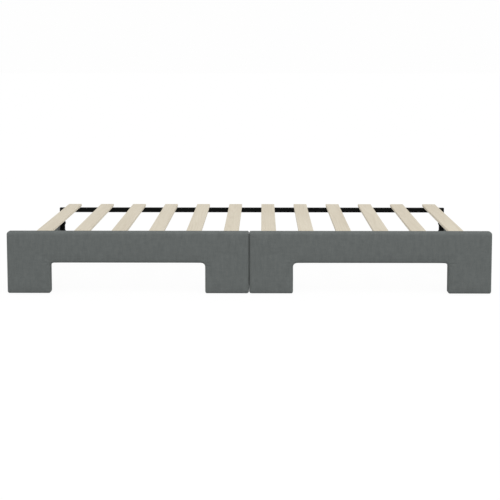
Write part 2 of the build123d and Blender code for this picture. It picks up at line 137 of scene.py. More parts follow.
def mix_color(nt, fac, a, b, mode="MIX"):
    m = nt.nodes.new("ShaderNodeMix")
    m.data_type = "RGBA"
    m.blend_type = mode
    for sock, v in ((m.inputs[0], fac), (m.inputs[6], a), (m.inputs[7], b)):
        if isinstance(v, (int, float)):
            sock.default_value = v
        elif isinstance(v, tuple):
            sock.default_value = v
        else:
            nt.links.new(v, sock)
    return m.outputs[2]


def bump(nt, bsdf, height, strength, distance, prev=None):
    b = nt.nodes.new("ShaderNodeBump")
    b.inputs["Strength"].default_value = strength
    b.inputs["Distance"].default_value = distance
    nt.links.new(height, b.inputs["Height"])
    if prev is not None:
        nt.links.new(prev, b.inputs["Normal"])
    nt.links.new(b.outputs["Normal"], bsdf.inputs["Normal"])
    return b.outputs["Normal"]


def upholstery(name):
    """Dark grey plain-weave upholstery cloth.  UVs run in metres along the cloth."""
    mat = bpy.data.materials.new(name)
    nt, bs = clear(mat)
    uv = nt.nodes.new("ShaderNodeUVMap")
    uv.uv_map = "cloth"
    u = uv.outputs["UV"]
    sep = nt.nodes.new("ShaderNodeSeparateXYZ")
    link(nt, u, sep.inputs[0])
    # threads wander a little
    wander = noise_node(nt, mapped(nt, u, (40, 40, 1)), 1.0, 3.0)
    wx = math_node(nt, "ADD", sep.outputs["X"], math_node(nt, "MULTIPLY", wander, 0.0012))
    wy = math_node(nt, "ADD", sep.outputs["Y"], math_node(nt, "MULTIPLY", wander, -0.0012))
    pitch = 0.0013
    k = 2 * math.pi / pitch
    sx = math_node(nt, "SINE", math_node(nt, "MULTIPLY", wx, k))
    sy = math_node(nt, "SINE", math_node(nt, "MULTIPLY", wy, k))
    warp = math_node(nt, "ABSOLUTE", math_node(nt, "SINE", math_node(nt, "MULTIPLY", wx, k)))
    weft = math_node(nt, "ABSOLUTE", math_node(nt, "SINE", math_node(nt, "MULTIPLY", wy, k)))
    over = math_node(nt, "MULTIPLY", sx, sy)
    sel = map_range(nt, over, -0.35, 0.35, 0.0, 1.0)
    weave = math_node(nt, "ADD", math_node(nt, "MULTIPLY", warp, sel),
                      math_node(nt, "MULTIPLY", weft, math_node(nt, "SUBTRACT", 1.0, sel)))
    # yarn-by-yarn tone: long streaks up the warp, shorter along the weft
    warp_tone = noise_node(nt, mapped(nt, u, (280, 30, 1)), 1.0, 2.0, 0.55)
    weft_tone = noise_node(nt, mapped(nt, u, (40, 300, 1), (3.1, 1.7, 0)), 1.0, 2.0, 0.55)
    slub = noise_node(nt, mapped(nt, u, (64, 17, 1), (7.3, 2.2, 0)), 1.0, 2.0, 0.5)
    cross = noise_node(nt, mapped(nt, u, (36, 64, 1), (2.3, 8.2, 0)), 1.0, 2.0, 0.5)
    pick = noise_node(nt, mapped(nt, u, (10, 125, 1), (6.1, 3.4, 0)), 1.0, 2.0, 0.5)
    cloud = noise_node(nt, mapped(nt, u, (13, 13, 1), (1.3, 5.2, 0)), 1.0, 4.0, 0.62)
    fleck = noise_node(nt, mapped(nt, u, (900, 900, 1)), 1.0, 1.0, 0.5)
    t = None
    for tone, centre, gain in ((warp_tone, 0.5, 0.37), (weft_tone, 0.5, 0.25), (slub, 0.5, 0.34),
                               (cross, 0.5, 0.24), (pick, 0.5, 0.11), (cloud, 0.5, 0.17),
                               (fleck, 0.5, 0.24), (weave, 0.62, 0.50)):
        part = math_node(nt, "MULTIPLY", math_node(nt, "SUBTRACT", tone, centre), gain)
        t = part if t is None else math_node(nt, "ADD", t, part)
    t = math_node(nt, "ADD", t, 0.5, clamp=True)
    dark, mid, light = FABRIC_DARK, FABRIC_MID, FABRIC_LIGHT
    col = ramp(nt, t, [(0.0, dark), (0.5, mid), (1.0, light)])
    link(nt, col, bs.inputs["Base Color"])
    rough = map_range(nt, cloud, 0.3, 0.7, 0.86, 0.96)
    link(nt, rough, bs.inputs["Roughness"])
    bs.inputs["Specular IOR Level"].default_value = 0.12
    bs.inputs["Sheen Weight"].default_value = 0.04
    bs.inputs["Sheen Roughness"].default_value = 0.5
    bs.inputs["Sheen Tint"].default_value = (0.8, 0.82, 0.82, 1)
    n1 = bump(nt, bs, weave, 0.75, 0.00045)
    fuzz = noise_node(nt, mapped(nt, u, (1500, 1500, 1)), 1.0, 2.0)
    n2 = bump(nt, bs, fuzz, 0.25, 0.0002, n1)
    bump(nt, bs, cloud, 0.25, 0.0012, n2)
    return mat


# albedos, worked out from the light that reaches each side
FABRIC_DARK = (0.0857, 0.0938, 0.0917, 1)
FABRIC_MID = (0.1275, 0.1388, 0.1357, 1)
FABRIC_LIGHT = (0.1734, 0.1877, 0.1826, 1)


def slat_wood(name):
    """Pale sanded laminated slats.  Grain runs along Y; plies show on the edges, in a tone lighter than
    the face that is partly painted light on the slat sides.
    """
    mat = bpy.data.materials.new(name)
    nt, bs = clear(mat)
    tc = nt.nodes.new("ShaderNodeTexCoord")
    o = tc.outputs["Object"]
    geo = nt.nodes.new("ShaderNodeNewGeometry")
    nsep = nt.nodes.new("ShaderNodeSeparateXYZ")
    osep = nt.nodes.new("ShaderNodeSeparateXYZ")
    link(nt, o, osep.inputs[0])
    # the surface normal in the piece's own frame
    vt = nt.nodes.new("ShaderNodeVectorTransform")
    vt.vector_type = "NORMAL"
    vt.convert_from = "WORLD"
    vt.convert_to = "OBJECT"
    link(nt, geo.outputs["Normal"], vt.inputs[0])
    link(nt, vt.outputs[0], nsep.inputs[0])
    top = math_node(nt, "ABSOLUTE", nsep.outputs["Z"])
    end = math_node(nt, "ABSOLUTE", nsep.outputs["Y"])
    top_w = map_range(nt, top, 0.55, 0.75, 0.0, 1.0)
    end_w = map_range(nt, end, 0.55, 0.75, 0.0, 1.0)
    broad = noise_node(nt, mapped(nt, o, (9, 1.6, 30)), 1.0, 3.0, 0.55)
    drift = noise_node(nt, mapped(nt, o, (16, 1.1, 9), (4.0, 2.0, 0)), 1.0, 2.0, 0.5)
    # growth rings: bands across X bent by slow noise along Y
    ringpos = math_node(nt, "ADD", math_node(nt, "MULTIPLY", osep.outputs["X"], 230.0),
                        math_node(nt, "MULTIPLY", drift, 26.0))
    ring = math_node(nt, "SINE", math_node(nt, "MULTIPLY", ringpos, 2.2))
    ring = math_node(nt, "POWER", math_node(nt, "MULTIPLY", math_node(nt, "ADD", ring, 1.0), 0.5), 3.0)
    fibre = noise_node(nt, mapped(nt, o, (1300, 16, 900)), 1.0, 3.0, 0.6)
    streak = noise_node(nt, mapped(nt, o, (330, 3.2, 200), (0.3, 9.0, 0)), 1.0, 3.0, 0.6)
    pore = noise_node(nt, mapped(nt, o, (1700, 70, 1200), (5, 1, 0)), 1.0, 1.0, 0.5)
    t = math_node(nt, "MULTIPLY", math_node(nt, "SUBTRACT", broad, 0.5), 0.75)
    t = math_node(nt, "SUBTRACT", t, math_node(nt, "MULTIPLY", ring, 0.16))
    t = math_node(nt, "ADD", t, math_node(nt, "MULTIPLY", math_node(nt, "SUBTRACT", fibre, 0.5), 0.38))
    t = math_node(nt, "ADD", t, math_node(nt, "MULTIPLY", math_node(nt, "SUBTRACT", streak, 0.5), 0.50))
    t = math_node(nt, "ADD", t, 0.56, clamp=True)
    face = ramp(nt, t, [(0.0, WOOD_DARK), (0.55, WOOD_MID), (1.0, WOOD_LIGHT)])
    poredark = map_range(nt, pore, 0.66, 0.74, 0.0, 0.30)
    face = mix_color(nt, poredark, face, (0.47, 0.39, 0.28, 1))
    # plies: seen on the long edges and ends; their tone is set lighter than the face, partly painted
    # light on the slat sides
    zz = math_node(nt, "MULTIPLY", osep.outputs["Z"], 1.0 / 0.0024)
    ply = math_node(nt, "FRACT", zz)
    odd = math_node(nt, "GREATER_THAN", math_node(nt, "FRACT", math_node(nt, "MULTIPLY", zz, 0.5)), 0.5)
    glue = math_node(nt, "LESS_THAN", ply, 0.10)
    ply_and_painted_light = mix_color(nt, odd, PLY_EDGE_PAINTED_LIGHT_A, PLY_EDGE_PAINTED_LIGHT_B)
    grain = noise_node(nt, mapped(nt, o, (500, 120, 900)), 1.0, 3.0, 0.6)
    ply_and_painted_light = mix_color(nt, math_node(nt, "MULTIPLY", grain, 0.28), ply_and_painted_light, (0.50, 0.42, 0.31, 1))
    ply_and_painted_light = mix_color(nt, math_node(nt, "MULTIPLY", glue, 0.38), ply_and_painted_light, (0.33, 0.26, 0.18, 1))
    # the sides take the ply colour, which is lighter than the face: real plies with painted light on the
    # slat sides
    ply_edge_and_painted_light_w = math_node(nt, "SUBTRACT", 1.0, top_w, clamp=True)
    col = mix_color(nt, ply_edge_and_painted_light_w, face, ply_and_painted_light)
    link(nt, col, bs.inputs["Base Color"])
    r = map_range(nt, streak, 0.3, 0.7, 0.52, 0.68)
    link(nt, r, bs.inputs["Roughness"])
    bs.inputs["Specular IOR Level"].default_value = 0.22
    n1 = bump(nt, bs, fibre, 0.30, 0.00025)
    n2 = bump(nt, bs, ring, 0.10, 0.0003, n1)
    bump(nt, bs, grain, 0.12, 0.0003, n2)
    return mat


WOOD_DARK = (0.492, 0.430, 0.330, 1)
WOOD_MID = (0.612, 0.555, 0.446, 1)
WOOD_LIGHT = (0.686, 0.633, 0.523, 1)
# ply edge tones: real plies and glue lines, set lighter than the face as painted light on the slat sides
PLY_EDGE_PAINTED_LIGHT_A = (0.725, 0.668, 0.550, 1)
PLY_EDGE_PAINTED_LIGHT_B = (0.685, 0.622, 0.502, 1)


def powder_coat(name, base=(0.0048, 0.0052, 0.0050, 1), rough=0.5, spec=0.022):
    mat = bpy.data.materials.new(name)
    nt, bs = clear(mat)
    tc = nt.nodes.new("ShaderNodeTexCoord")
    o = tc.outputs["Object"]
    big = noise_node(nt, mapped(nt, o, (14, 14, 14)), 1.0, 3.0)
    pebble = noise_node(nt, mapped(nt, o, (900, 900, 900)), 1.0, 2.0, 0.55)
    wear = noise_node(nt, mapped(nt, o, (120, 60, 120), (2, 4, 6)), 1.0, 5.0, 0.7)
    scuff = map_range(nt, wear, 0.70, 0.80, 0.0, 0.55)
    a = mix_color(nt, map_range(nt, big, 0.3, 0.7, 0.0, 1.0), base,
                  (base[0] * 1.5, base[1] * 1.5, base[2] * 1.5, 1))
    a = mix_color(nt, scuff, a, (base[0] * 4, base[1] * 4, base[2] * 4, 1))
    link(nt, a, bs.inputs["Base Color"])
    link(nt, map_range(nt, big, 0.3, 0.7, rough - 0.06, rough + 0.08), bs.inputs["Roughness"])
    bs.inputs["Specular IOR Level"].default_value = spec
    bump(nt, bs, pebble, 0.35, 0.00025)
    return mat


def zinc(name):
    mat = bpy.data.materials.new(name)
    nt, bs = clear(mat)
    tc = nt.nodes.new("ShaderNodeTexCoord")
    o = tc.outputs["Object"]
    spangle = noise_node(nt, mapped(nt, o, (260, 260, 260)), 1.0, 2.0, 0.6, 0.6)
    brush = noise_node(nt, mapped(nt, o, (60, 2600, 2600)), 1.0, 2.0)
    col = ramp(nt, spangle, [(0.3, (0.40, 0.41, 0.42, 1)), (0.55, (0.55, 0.56, 0.57, 1)),
                             (0.75, (0.63, 0.64, 0.65, 1))])
    link(nt, col, bs.inputs["Base Color"])
    bs.inputs["Metallic"].default_value = 1.0
    link(nt, map_range(nt, spangle, 0.3, 0.7, 0.30, 0.46), bs.inputs["Roughness"])
    bump(nt, bs, brush, 0.12, 0.00015)
    return mat


def nylon(name, base=(0.016, 0.016, 0.017, 1), tread=False):
    mat = bpy.data.materials.new(name)
    nt, bs = clear(mat)
    tc = nt.nodes.new("ShaderNodeTexCoord")
    o = tc.outputs["Object"]
    grain = noise_node(nt, mapped(nt, o, (1400, 1400, 1400)), 1.0, 2.0)
    cloud = noise_node(nt, mapped(nt, o, (70, 70, 70)), 1.0, 4.0, 0.6)
    scratch = noise_node(nt, mapped(nt, o, (900, 110, 110), (1, 2, 3)), 1.0, 3.0, 0.65)
    s = map_range(nt, scratch, 0.60, 0.72, 0.0, 0.6)
    col = mix_color(nt, map_range(nt, cloud, 0.3, 0.7, 0.0, 1.0), base,
                    (base[0] * 1.9, base[1] * 1.9, base[2] * 1.9, 1))
    col = mix_color(nt, s, col, (base[0] * 3.4, base[1] * 3.3, base[2] * 3.2, 1))
    link(nt, col, bs.inputs["Base Color"])
    link(nt, map_range(nt, cloud, 0.3, 0.7, 0.42, 0.60), bs.inputs["Roughness"])
    bs.inputs["Specular IOR Level"].default_value = 0.35
    bump(nt, bs, grain, 0.18, 0.00018)
    return mat


def nonwoven(name):
    """Black spun dust cover with a fine embossed dot pattern."""
    mat = bpy.data.materials.new(name)
    nt, bs = clear(mat)
    tc = nt.nodes.new("ShaderNodeTexCoord")
    o = tc.outputs["Object"]
    v = nt.nodes.new("ShaderNodeTexVoronoi")
    v.feature = "F1"
    v.inputs["Scale"].default_value = 1.0
    v.inputs["Randomness"].default_value = 0.15
    link(nt, mapped(nt, o, (520, 20, 520)), v.inputs["Vector"])
    dots = map_range(nt, v.outputs["Distance"], 0.0, 0.45, 0.0, 1.0)
    fibres = noise_node(nt, mapped(nt, o, (1800, 1800, 1800)), 1.0, 4.0, 0.7, 1.5)
    creases = noise_node(nt, mapped(nt, o, (9, 9, 22)), 1.0, 3.0, 0.55, 0.8)
    t = math_node(nt, "ADD", math_node(nt, "MULTIPLY", dots, 0.5), math_node(nt, "MULTIPLY", fibres, 0.5))
    col = ramp(nt, t, [(0.2, (0.020, 0.020, 0.021, 1)), (0.8, (0.050, 0.050, 0.052, 1))])
    link(nt, col, bs.inputs["Base Color"])
    link(nt, map_range(nt, fibres, 0.3, 0.7, 0.78, 0.92), bs.inputs["Roughness"])
    bs.inputs["Specular IOR Level"].default_value = 0.2
    n1 = bump(nt, bs, t, 0.4, 0.0003)
    bump(nt, bs, creases, 0.5, 0.004, n1)
    return mat


def raw_board(name):
    mat = bpy.data.materials.new(name)
    nt, bs = clear(mat)
    tc = nt.nodes.new("ShaderNodeTexCoord")
    o = tc.outputs["Object"]
    chip = nt.nodes.new("ShaderNodeTexVoronoi")
    chip.inputs["Scale"].default_value = 1.0
    link(nt, mapped(nt, o, (260, 420, 320)), chip.inputs["Vector"])
    speck = noise_node(nt, mapped(nt, o, (700, 700, 700)), 1.0, 3.0)
    t = math_node(nt, "ADD", math_node(nt, "MULTIPLY", chip.outputs["Distance"], 0.6),
                  math_node(nt, "MULTIPLY", speck, 0.5))
    col = ramp(nt, t, [(0.2, (0.30, 0.21, 0.12, 1)), (0.55, (0.47, 0.36, 0.23, 1)),
                       (0.9, (0.60, 0.49, 0.34, 1))])
    link(nt, col, bs.inputs["Base Color"])
    link(nt, map_range(nt, speck, 0.3, 0.7, 0.7, 0.9), bs.inputs["Roughness"])
    bump(nt, bs, t, 0.5, 0.0004)
    return mat


M = {
    "grey_fabric": upholstery("upholstery_cloth"),
    "slat_wood": slat_wood("pale_slat_wood"),
    "black_steel": powder_coat("black_powder_coat"),
    "black_bolt": powder_coat("black_oxide", (0.007, 0.007, 0.007, 1), 0.42, 0.2),
    "plated_steel": zinc("zinc_plate"),
    "wheel_nylon": nylon("wheel_nylon"),
    "cap_plastic": nylon("cap_nylon", (0.012, 0.012, 0.0125, 1)),
    "dust_cover": nonwoven("dust_cover_nonwoven"),
    "core_board": raw_board("raw_board"),
}

slot_of = {s["node"]: s["material_slot"] for s in frame["record"]["subparts"]}
for n, o in nodes.items():
    mat = M[slot_of[n]]
    o.data.materials.clear()
    o.data.materials.append(mat)

# ------------------------------------------------------- upholstered slabs
def lines_between(marks, near, far_step):
    """Grid lines through the marks: the offsets in near on both sides of each, then even steps."""
    out = []
    for m0, m1 in zip(marks[:-1], marks[1:]):
        d = [x for x in near if x < (m1 - m0) / 2 - 0.002]
        i0, i1 = m0 + d[-1], m1 - d[-1]
        n = max(1, int(round((i1 - i0) / far_step)))
        seg = ([m0 + x for x in d] + [i0 + (i1 - i0) * i / n for i in range(1, n)]
               + [m1 - x for x in reversed(d)])
        out += seg if not out else seg[1:]
    return out


class Outline:
    """A rectilinear outline on a graded grid, with rounded corners and its distance field."""

    def __init__(self, a_marks, b_marks, inside, corners, near, step, warp=None):
        A, B = lines_between(a_marks, near, step), lines_between(b_marks, near, step)
        self.cells = [(i, j) for i in range(len(A) - 1) for j in range(len(B) - 1)
                      if inside((A[i] + A[i + 1]) / 2, (B[j] + B[j + 1]) / 2)]
        self.used = {}
        for i, j in self.cells:
            for p in ((i, j), (i + 1, j), (i + 1, j + 1), (i, j + 1)):
                self.used.setdefault(p, len(self.used))
        P0 = np.array([(A[i], B[j]) for i, j in self.used], float)
        self.loop = self.walk()
        P = P0.copy()
        for c in corners:
            self.round_corner(P0, P, *c)
        if warp:
            P = warp(P)
        self.P = P
        self.field()

    def walk(self):
        cellset, edges, used = set(self.cells), {}, self.used
        for i, j in self.cells:
            for (p, r, nb) in (((i, j), (i + 1, j), (i, j - 1)),
                               ((i + 1, j), (i + 1, j + 1), (i + 1, j)),
                               ((i + 1, j + 1), (i, j + 1), (i, j + 1)),
                               ((i, j + 1), (i, j), (i - 1, j))):
                if nb not in cellset:
                    edges[used[p]] = used[r]
        loop = [next(iter(edges))]
        while edges[loop[-1]] != loop[0]:
            loop.append(edges[loop[-1]])
        return loop

    @staticmethod
    def round_corner(P0, P, ca, cb, kind, sa, sb, ra, rb):
        """convex: sa, sb point into the slab.  reflex: they point into the notch."""
        rel = (P0 - (ca, cb)) * (sa, sb) / (ra, rb)
        x, y = rel[:, 0], rel[:, 1]
        if kind == "convex":
            m = (x >= -1e-9) & (y >= -1e-9) & (x <= 1) & (y <= 1)
            v = rel[m] - 1
            mx = np.maximum(np.abs(v[:, 0]), np.abs(v[:, 1]))
            ln = np.hypot(v[:, 0], v[:, 1])
            s = np.where(ln > 1e-12, mx / np.maximum(ln, 1e-12), 1.0)
            P[m] = (ca, cb) + (v * s[:, None] + 1) * (sa * ra, sb * rb)
            return
        s, d = np.zeros(len(rel)), np.zeros(len(rel))
        q1, q2, q3 = (x >= 0) & (y <= 0), (x <= 0) & (y >= 0), (x < 0) & (y < 0)
        s[q1], d[q1] = x[q1], -y[q1]
        s[q2], d[q2] = -y[q2], -x[q2]
        d[q3] = np.hypot(x[q3], y[q3])
        m = (np.abs(s) < 1) & (d < 6) & (q1 | q2 | q3)
        ang = math.radians(225) + s * math.pi / 4
        fall = np.exp(-(d / 1.6) ** 1.5)
        dx = (1 + np.cos(ang) - np.where(s > 0, s, 0.0)) * fall
        dy = (1 + np.sin(ang) - np.where(s < 0, -s, 0.0)) * fall
        P[m] += np.stack([dx[m] * sa * ra, dy[m] * sb * rb], 1)

    def field(self):
        P, poly = self.P, self.P[self.loop]
        seg = np.roll(poly, -1, 0) - poly
        L2 = np.maximum((seg ** 2).sum(1), 1e-18)
        D, near_pt = np.full(len(P), 1e9), np.zeros_like(P)
        for k in range(len(poly)):
            t = np.clip(((P - poly[k]) @ seg[k]) / L2[k], 0, 1)
            c = poly[k] + t[:, None] * seg[k]
            dd = np.hypot(*(P - c).T)
            m = dd < D - 1e-12
            D[m], near_pt[m] = dd[m], c[m]
        D[self.loop] = 0.0
        out = near_pt - P
        ln = np.hypot(*out.T)
        ok = ln > 1e-6
        out[ok] /= ln[ok][:, None]
        out[~ok] = 0
        nrm = np.stack([seg[:, 1], -seg[:, 0]], 1) / np.sqrt(L2)[:, None]
        mean = nrm + np.roll(nrm, 1, 0)
        mean /= np.maximum(np.hypot(*mean.T), 1e-9)[:, None]
        out[self.loop] = mean
        self.D, self.out = D, out
        self.run = np.concatenate([[0], np.cumsum(np.sqrt(L2))])


def noise2(a, b, f, s, seed=0.0):
    return noise.noise(Vector((a * f + seed, b * f - seed * 0.7, s)))


ARC = [1 - math.cos(math.radians(x)) for x in (0, 15, 30, 45, 60, 75, 90)]


def slab(name, outline, thick, r_face, r_back, to_world, crown=0.0015, soft=0.009,
         ripple=0.0004, seed=0.0, recess=None, fans=(), wall_puff=0.0006, wall_rows=5,
         mat=None, smooth=1, sag=0.0, pillow=0.0, butt=False, lap=None):
    """Closed upholstered slab over an Outline.  to_world(a, b, t): t is the depth
    from the show face.  The face falls away near its edges by crown, over soft metres,
    then rounds over by r_face.  fans: (a, b, sa, sb), where the cloth is stretched
    round a notch's corner.  sag: how much further edges that face down fall away.
    pillow: how much the middle of the face swells over its edges.  butt: the end at
    a = 0 is pressed flat against its neighbour.  lap: (edge, drop, keep), on the back a
    turned strip of cloth ends at b = edge, and above it the cloth lies lower by drop,
    apart from the stretches of a in keep."""
    P, D, out, loop = outline.P, outline.D, outline.out, outline.loop
    nf, n = len(P), len(loop)

    def rounded(d, r):
        return r - np.sqrt(np.maximum(r * r - np.clip(r - d, 0, r) ** 2, 0))

    def arc(d, r):
        x = np.clip(r - d, 0, r)
        return r * np.arcsin(np.clip(x / r, 0, 1)) - x

    away = 1 - np.exp(-D / 0.004)
    t_front = rounded(D, r_face) + crown * np.exp(-D / soft)
    t_front = t_front + sag * np.clip(-out[:, 1], 0, 1) * np.exp(-D / 0.009)
    t_front = t_front + pillow * (1 - np.clip(D / 0.060, 0, 1)) ** 2
    rip = np.array([0.8 * noise2(a, b, 8.0, 1.3, seed) + 0.45 * noise2(a, b, 19.0, 4.1, seed)
                    for a, b in P]) * ripple
    pulls = np.array([noise2(a, b, 46.0, 7.7, seed) for a, b in P]) * ripple * np.exp(-D / 0.014)
    t_front = t_front + (rip + pulls) * away
    for ca, cb, sa, sb in fans:
        rel = (P - (ca, cb)) * (sa, sb)
        rr, an = np.hypot(*rel.T), np.arctan2(rel[:, 1], rel[:, 0])
        wob = np.array([noise2(a, b, 60.0, 2.2, seed) for a, b in P])
        t_front += (0.0007 * np.sin(an * 7 + seed + 1.5 * wob)
                    * np.exp(-((rr - 0.015) / 0.012) ** 2) * away)
    t_back = thick - rounded(D, r_back)
    if recess:
        t_back = t_back - recess[1] * np.clip((D - recess[0]) / 0.0015, 0, 1)
    if lap:
        edge, drop, keep = lap
        wave = np.array([0.0005 * noise2(a, 0.3, 24.0, 9.1, seed) for a, _ in P])
        above = np.clip((P[:, 1] - edge - wave) / 0.0009 + 0.5, 0, 1)
        free = np.clip(D / 0.008, 0, 1)
        for k0, k1 in keep:
            gap = np.maximum(np.maximum(k0 - P[:, 0], P[:, 0] - k1), 0)
            free = np.minimum(free, np.clip(gap / 0.014, 0, 1))
        t_back = t_back - drop * above * above * (3 - 2 * above) * free * free * (3 - 2 * free)

    verts, uvs = [], []
    e0 = float(arc(0.0, r_face)) + crown
    span = thick - r_face - crown - r_back
    e_arc = np.where(D < r_face, arc(D, r_face), 0.0) + crown * np.exp(-D / soft)
    for k in range(nf):
        verts.append(to_world(P[k, 0], P[k, 1], t_front[k]))
        uvs.append(tuple(P[k] + out[k] * e_arc[k]))
    reach = e0 + span + float(arc(0.0, r_back)) + r_back
    for k in range(nf):
        verts.append(to_world(P[k, 0], P[k, 1], t_back[k]))
        uvs.append(tuple(P[k] + out[k] * (reach + 2 * min(D[k], 0.03))))
    rings = []
    for i in range(wall_rows):
        f = (i + 0.5) / wall_rows
        ids = []
        for k, vi in enumerate(loop):
            s = outline.run[k]
            t = t_front[vi] + (thick - r_back - t_front[vi]) * f
            o = (wall_puff * math.sin(math.pi * f)
                 + ripple * 0.7 * noise.noise(Vector((s * 28.0, t * 30.0 + seed, 3.3))))
            if butt:
                o *= 1 - max(0.0, -out[vi][0])
            pt = P[vi] + out[vi] * o
            ids.append(len(verts))
            verts.append(to_world(pt[0], pt[1], t))
            uvs.append(tuple(P[vi] + out[vi] * (e0 + t - t_front[vi])))
        rings.append(ids)

    faces = []
    for i, j in outline.cells:
        u = outline.used
        f = [u[(i, j)], u[(i + 1, j)], u[(i + 1, j + 1)], u[(i, j + 1)]]
        faces.append(f)
        faces.append([x + nf for x in reversed(f)])
    stack = [loop] + rings + [[v + nf for v in loop]]
    for r0, r1 in zip(stack[:-1], stack[1:]):
        for k in range(n):
            k2 = (k + 1) % n
            faces.append([r0[k2], r0[k], r1[k], r1[k2]])
    me = bpy.data.meshes.new(name)
    me.from_pydata(verts, [], faces)
    uvl = me.uv_layers.new(name="cloth")
    vi = np.zeros(len(me.loops), np.int32)
    me.loops.foreach_get("vertex_index", vi)
    uvl.data.foreach_set("uv", np.array(uvs, np.float32)[vi].ravel())
    me.validate()
    bm = bmesh.new()
    bm.from_mesh(me)
    bmesh.ops.recalc_face_normals(bm, faces=bm.faces)
    bm.to_mesh(me)
    bm.free()
    me.polygons.foreach_set("use_smooth", [True] * len(me.polygons))
    me.update()
    ob = bpy.data.objects.new(name, me)
    bpy.context.scene.collection.objects.link(ob)
    me.materials.append(mat or M["grey_fabric"])
    if smooth:
        sub = ob.modifiers.new("smooth", "SUBSURF")
        sub.levels = smooth
        sub.render_levels = smooth
    return ob


R_FACE = 0.0088
NEAR = [R_FACE * x for x in ARC] + [0.0112, 0.0142, 0.0182, 0.0232, 0.0300]
PROUD_SIDE, PROUD_TOP, PROUD_LOW, SEAM_GAP = 0.0030, 0.0010, 0.0038, 0.0001
LEG_OUT, LEG_IN, CUT = 0.175, 0.182, 0.127
for side, s in (("left", -1), ("right", 1)):
    lo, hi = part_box(f"front_cover_{side}")
    y0, thick = lo.y, hi.y - lo.y
    # a runs from the seam (0) to the outer end, so both panels share one description
    a1 = (hi.x if s > 0 else -lo.x) + PROUD_SIDE
    b0, b1 = lo.z - PROUD_LOW, hi.z + PROUD_TOP
    a0, ai, ao = SEAM_GAP, LEG_IN, (hi.x if s > 0 else -lo.x) - LEG_OUT
    bc = lo.z + CUT - 0.0026

    def inside(a, b, ai=ai, ao=ao, bc=bc):
        return not (ai < a < ao and b < bc)

    corners = [(a0, b0, "convex", 1, 1, 0.0095, 0.0080), (ai, b0, "convex", -1, 1, 0.0072, 0.0080),
               (ao, b0, "convex", 1, 1, 0.0075, 0.0082), (a1, b0, "convex", -1, 1, 0.0078, 0.0085),
               (a1, b1, "convex", -1, -1, 0.0095, 0.0095), (a0, b1, "convex", 1, -1, 0.0065, 0.0085),
               (ai, bc, "reflex", 1, -1, 0.0175, 0.0160), (ao, bc, "reflex", -1, -1, 0.0165, 0.0155)]

    def warp(P, a0=a0, b0=b0, b1=b1, ai=ai, ao=ao, bc=bc):
        P = P.copy()
        a, b = P[:, 0], P[:, 1]
        near_seam = np.exp(-np.maximum(a - a0, 0) / 0.02)
        # the butted ends draw back a little towards their lower and upper corners
        low, top = np.maximum(b - b0, 0), np.maximum(b1 - b, 0)
        P[:, 0] += near_seam * (0.0013 * np.exp(-low / 0.005) + 0.00028 * np.exp(-(low / 0.040) ** 2)
                                + 0.0004 * np.exp(-(top / 0.0115) ** 4))
        # the cloth under the beam hangs a trace low beside each leg
        ends = np.clip(np.minimum(a - ai, ao - a) / 0.009, 0, 1)
        under = np.exp(-np.abs(b - bc) / 0.012) * ends * ends * (3 - 2 * ends)
        P[:, 1] -= 0.0009 * under * (np.exp(-np.maximum(a - ai, 0) / 0.018)
                                     + np.exp(-np.maximum(ao - a, 0) / 0.018))
        return P

    shape = Outline([a0, ai, ao, a1], [b0, bc, b1], inside, corners, NEAR, 0.012, warp)
    ob = slab(f"front_cover_{side}_cloth", shape, thick, R_FACE, 0.003,
              lambda a, b, t, y0=y0, s=s: (s * a, y0 + t, b), recess=(0.0085, 0.0022), soft=0.0075,
              sag=0.0034, pillow=0.0020, butt=True,
              seed=3.7 if side == "left" else 11.2, fans=[(ai, bc, 1, -1), (ao, bc, -1, -1)])
    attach(ob, BODY)
    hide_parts(f"front_cover_{side}")

for side, s in (("left", -1), ("right", 1)):
    lo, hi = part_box(f"side_cover_{side}")
    a0, a1, b0, b1 = lo.y, hi.y, lo.z, hi.z
    thick = hi.x - lo.x
    xo = lo.x if s < 0 else hi.x
    rc = 0.004
    corners = [(a0, b0, "convex", 1, 1, rc, rc), (a1, b0, "convex", -1, 1, rc, rc),
               (a1, b1, "convex", -1, -1, rc, rc), (a0, b1, "convex", 1, -1, rc, rc)]
    near = [0.004 * x for x in ARC] + [0.0065, 0.0100, 0.0150]
    turn = b0 + 0.022
    shape = Outline([a0, a1], [b0, turn, b1], lambda a, b: True, corners, near, 0.012)
    corner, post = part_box(f"corner_bracket_{side}"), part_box(f"rear_post_{side}")
    ob = slab(f"side_cover_{side}_cloth", shape, thick, 0.004, 0.004,
              lambda a, b, t, xo=xo, s=s: (xo - s * t, a, b), crown=0.0008, soft=0.007,
              seed=21.0 + s * 4.4, ripple=0.0003, wall_puff=0.0003, wall_rows=3,
              pillow=0.0008, lap=(turn, 0.0007, [(a0, corner[1].y), (post[0].y, a1)]))
    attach(ob, BODY)
    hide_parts(f"side_cover_{side}")

# ---------------------------------------------------------------- staples
def staples(name, places, normal):
    """Flat wire staples.  places: (point, direction along the crown)."""
    bm = bmesh.new()
    nrm = Vector(normal)
    for pt, along in places:
        c, a = Vector(pt), Vector(along).normalized()
        b = nrm.cross(a).normalized()
        L, Wd, H, ch = 0.0050, 0.00045, 0.0007, 0.0006
        rows = []
        for u, h in ((-L, 0.0), (-L, H * 0.55), (-L + ch, H), (L - ch, H), (L, H * 0.55), (L, 0.0)):
            rows.append([bm.verts.new(c + a * u + b * w + nrm * h) for w in (-Wd, Wd)])
        for r0, r1 in zip(rows[:-1], rows[1:]):
            bm.faces.new((r0[0], r1[0], r1[1], r0[1]))
        bm.faces.new([r[0] for r in reversed(rows)])
        bm.faces.new([r[1] for r in rows])
        bm.faces.new((rows[0][0], rows[0][1], rows[-1][1], rows[-1][0]))
    bmesh.ops.recalc_face_normals(bm, faces=bm.faces)
    me = bpy.data.meshes.new(name)
    bm.to_mesh(me)
    bm.free()
    ob = bpy.data.objects.new(name, me)
    bpy.context.scene.collection.objects.link(ob)
    me.materials.append(M["plated_steel"])
    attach(ob, BODY)
    return ob


def wobble(i, k):
    return noise.noise(Vector((i * 3.17, k * 1.93, 0.5)))


